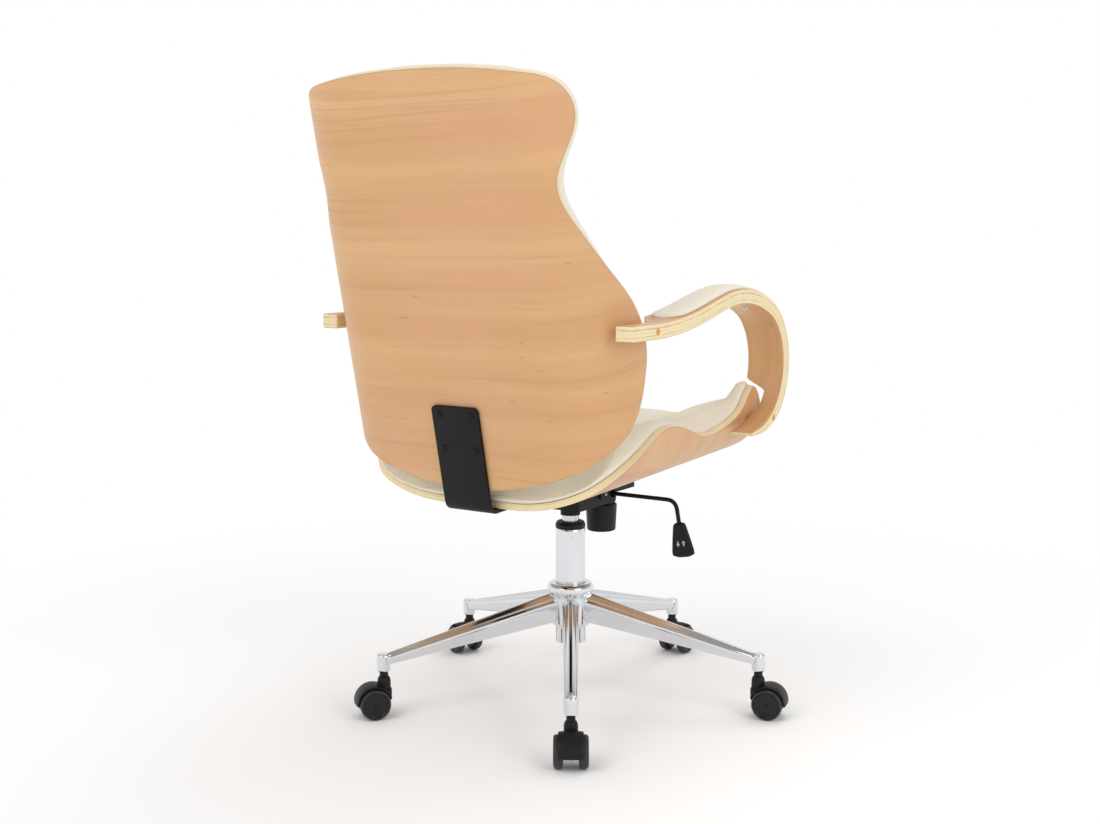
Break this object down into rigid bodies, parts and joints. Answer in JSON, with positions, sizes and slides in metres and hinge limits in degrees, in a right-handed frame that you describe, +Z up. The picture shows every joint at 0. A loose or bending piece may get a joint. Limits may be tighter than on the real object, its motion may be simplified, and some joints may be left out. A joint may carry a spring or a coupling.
{
  "type": "office chair",
  "caption": "Swivel office chair with a bent plywood seat and winged back, padded inside, looped plywood arms, gas lift, tilt mechanism and a star base on twin-wheel castors.",
  "frame": {"origin": "on the floor under the column's axis", "axes": "+Z up, +Y forward where the seat faces, +X to the sitter's right"},
  "size_m": [0.7088, 0.7821, 1.0227],
  "materials": {
    "veneer": "satin lacquered light veneer",
    "leatherette": "soft cream",
    "chrome": "polished",
    "bright_steel": "bright",
    "black_steel": "satin black",
    "black_plastic": "satin black"
  },
  "bodies": {
    "base": {"star_base": "chrome", "column_tube": "chrome", "column_bush": "black_plastic", "thrust_bearing": "bright_steel", "castor_1_stem": "bright_steel", "castor_2_stem": "bright_steel", "castor_3_stem": "bright_steel", "castor_4_stem": "bright_steel", "castor_5_stem": "bright_steel"},
    "swivel": {"piston_rod": "bright_steel", "retaining_clip": "bright_steel"},
    "lift": {"gas_cylinder": "bright_steel", "mechanism_housing": "black_steel", "tilt_pivot_pin": "bright_steel"},
    "release": {"release_pin": "bright_steel"},
    "seat": {"seat_plate": "black_steel", "tension_bolt": "bright_steel", "tension_spring": "bright_steel", "seat_shell": "veneer", "seat_cushion": "leatherette", "back_shell": "veneer", "back_cushion": "leatherette", "back_bracket": "black_steel", "back_screws": "black_steel", "bracket_bolts": "black_steel", "seat_bolts": "black_steel", "arm_left": "veneer", "arm_right": "veneer", "arm_pad_left": "leatherette", "arm_pad_right": "leatherette", "arm_screws": "bright_steel", "arm_plugs": "veneer", "arm_spacers": "black_plastic", "pad_screws": "bright_steel"},
    "spring_seat": {"spring_washer": "bright_steel"},
    "knob": {"tension_knob": "black_plastic"},
    "lock": {"lock_slider": "black_steel", "lever_pivot_pin": "bright_steel"},
    "lever": {"lever_rod": "black_steel", "lever_paddle": "black_plastic"},
    "castor_1": {"castor_1_hood": "black_plastic", "castor_1_axle": "bright_steel"},
    "castor_1_left": {"castor_1_wheel_left": "black_plastic"},
    "castor_1_right": {"castor_1_wheel_right": "black_plastic"},
    "castor_2": {"castor_2_hood": "black_plastic", "castor_2_axle": "bright_steel"},
    "castor_2_left": {"castor_2_wheel_left": "black_plastic"},
    "castor_2_right": {"castor_2_wheel_right": "black_plastic"},
    "castor_3": {"castor_3_hood": "black_plastic", "castor_3_axle": "bright_steel"},
    "castor_3_left": {"castor_3_wheel_left": "black_plastic"},
    "castor_3_right": {"castor_3_wheel_right": "black_plastic"},
    "castor_4": {"castor_4_hood": "black_plastic", "castor_4_axle": "bright_steel"},
    "castor_4_left": {"castor_4_wheel_left": "black_plastic"},
    "castor_4_right": {"castor_4_wheel_right": "black_plastic"},
    "castor_5": {"castor_5_hood": "black_plastic", "castor_5_axle": "bright_steel"},
    "castor_5_left": {"castor_5_wheel_left": "black_plastic"},
    "castor_5_right": {"castor_5_wheel_right": "black_plastic"}
  },
  "joints": [
    {"name": "castor_1_swivel", "type": "hinge", "parent": "base", "child": "castor_1", "pos_m": [0.17428, -0.26837, 0.05], "axis": [0, 0, 1], "continuous": true},
    {"name": "castor_1_left_roll", "type": "hinge", "parent": "castor_1", "child": "castor_1_left", "pos_m": [0.18409, -0.28347, 0.025], "axis": [0.8387, 0.5446, 0], "continuous": true},
    {"name": "castor_1_right_roll", "type": "hinge", "parent": "castor_1", "child": "castor_1_right", "pos_m": [0.18409, -0.28347, 0.025], "axis": [0.8387, 0.5446, 0], "continuous": true},
    {"name": "castor_2_swivel", "type": "hinge", "parent": "base", "child": "castor_2", "pos_m": [0.3091, 0.08282, 0.05], "axis": [0, 0, 1], "continuous": true},
    {"name": "castor_2_left_roll", "type": "hinge", "parent": "castor_2", "child": "castor_2_left", "pos_m": [0.32648, 0.08748, 0.025], "axis": [-0.2588, 0.9659, 0], "continuous": true},
    {"name": "castor_2_right_roll", "type": "hinge", "parent": "castor_2", "child": "castor_2_right", "pos_m": [0.32648, 0.08748, 0.025], "axis": [-0.2588, 0.9659, 0], "continuous": true},
    {"name": "castor_3_swivel", "type": "hinge", "parent": "base", "child": "castor_3", "pos_m": [0.01675, 0.31956, 0.05], "axis": [0, 0, 1], "continuous": true},
    {"name": "castor_3_left_roll", "type": "hinge", "parent": "castor_3", "child": "castor_3_left", "pos_m": [0.01769, 0.33754, 0.025], "axis": [-0.9986, 0.0523, 0], "continuous": true},
    {"name": "castor_3_right_roll", "type": "hinge", "parent": "castor_3", "child": "castor_3_right", "pos_m": [0.01769, 0.33754, 0.025], "axis": [-0.9986, 0.0523, 0], "continuous": true},
    {"name": "castor_4_swivel", "type": "hinge", "parent": "base", "child": "castor_4", "pos_m": [-0.29875, 0.11468, 0.05], "axis": [0, 0, 1], "continuous": true},
    {"name": "castor_4_left_roll", "type": "hinge", "parent": "castor_4", "child": "castor_4_left", "pos_m": [-0.31555, 0.12113, 0.025], "axis": [-0.3584, -0.9336, 0], "continuous": true},
    {"name": "castor_4_right_roll", "type": "hinge", "parent": "castor_4", "child": "castor_4_right", "pos_m": [-0.31555, 0.12113, 0.025], "axis": [-0.3584, -0.9336, 0], "continuous": true},
    {"name": "castor_5_swivel", "type": "hinge", "parent": "base", "child": "castor_5", "pos_m": [-0.20138, -0.24869, 0.05], "axis": [0, 0, 1], "continuous": true},
    {"name": "castor_5_left_roll", "type": "hinge", "parent": "castor_5", "child": "castor_5_left", "pos_m": [-0.21271, -0.26267, 0.025], "axis": [0.7771, -0.6293, 0], "continuous": true},
    {"name": "castor_5_right_roll", "type": "hinge", "parent": "castor_5", "child": "castor_5_right", "pos_m": [-0.21271, -0.26267, 0.025], "axis": [0.7771, -0.6293, 0], "continuous": true},
    {"name": "seat_swivel", "type": "hinge", "parent": "base", "child": "swivel", "pos_m": [0, 0, 0.1], "axis": [0, 0, 1], "continuous": true},
    {"name": "seat_height", "type": "slide", "parent": "swivel", "child": "lift", "axis": [0, 0, 1], "range_m": [0, 0.1]},
    {"name": "seat_tilt", "type": "hinge", "parent": "lift", "child": "seat", "pos_m": [0, 0.025, 0.352], "axis": [1, 0, 0], "range_deg": [0, 12], "stiffness_Nm_per_rad": 140, "springref_deg": -17.19, "deforming": ["tension_spring"]},
    {"name": "spring_seat_slide", "type": "slide", "parent": "seat", "child": "spring_seat", "axis": [0, 0, 1], "range_m": [0, 0.006], "deforming": ["tension_spring"]},
    {"name": "tension_knob_turn", "type": "hinge", "parent": "spring_seat", "child": "knob", "pos_m": [0, 0.098, 0.3], "axis": [0, 0, 1], "range_deg": [0, 1440]},
    {"name": "lever_slide", "type": "slide", "parent": "lift", "child": "lock", "axis": [1, 0, 0], "range_m": [0, 0.007]},
    {"name": "lever_lift", "type": "hinge", "parent": "lock", "child": "lever", "pos_m": [0.024, 0.058, 0.345], "axis": [0, -1, 0], "range_deg": [0, 7], "stiffness_Nm_per_rad": 1.5, "springref_deg": -6.88},
    {"name": "release_pin_slide", "type": "slide", "parent": "lift", "child": "release", "axis": [0, 0, -1], "range_m": [0, 0.0034]}
  ],
  "couplings": [
    {"joint": "tension_knob_turn", "follows": "spring_seat_slide", "rad_per_m": 4188.8},
    {"joint": "release_pin_slide", "follows": "lever_lift", "m_per_rad": 0.027}
  ]
}
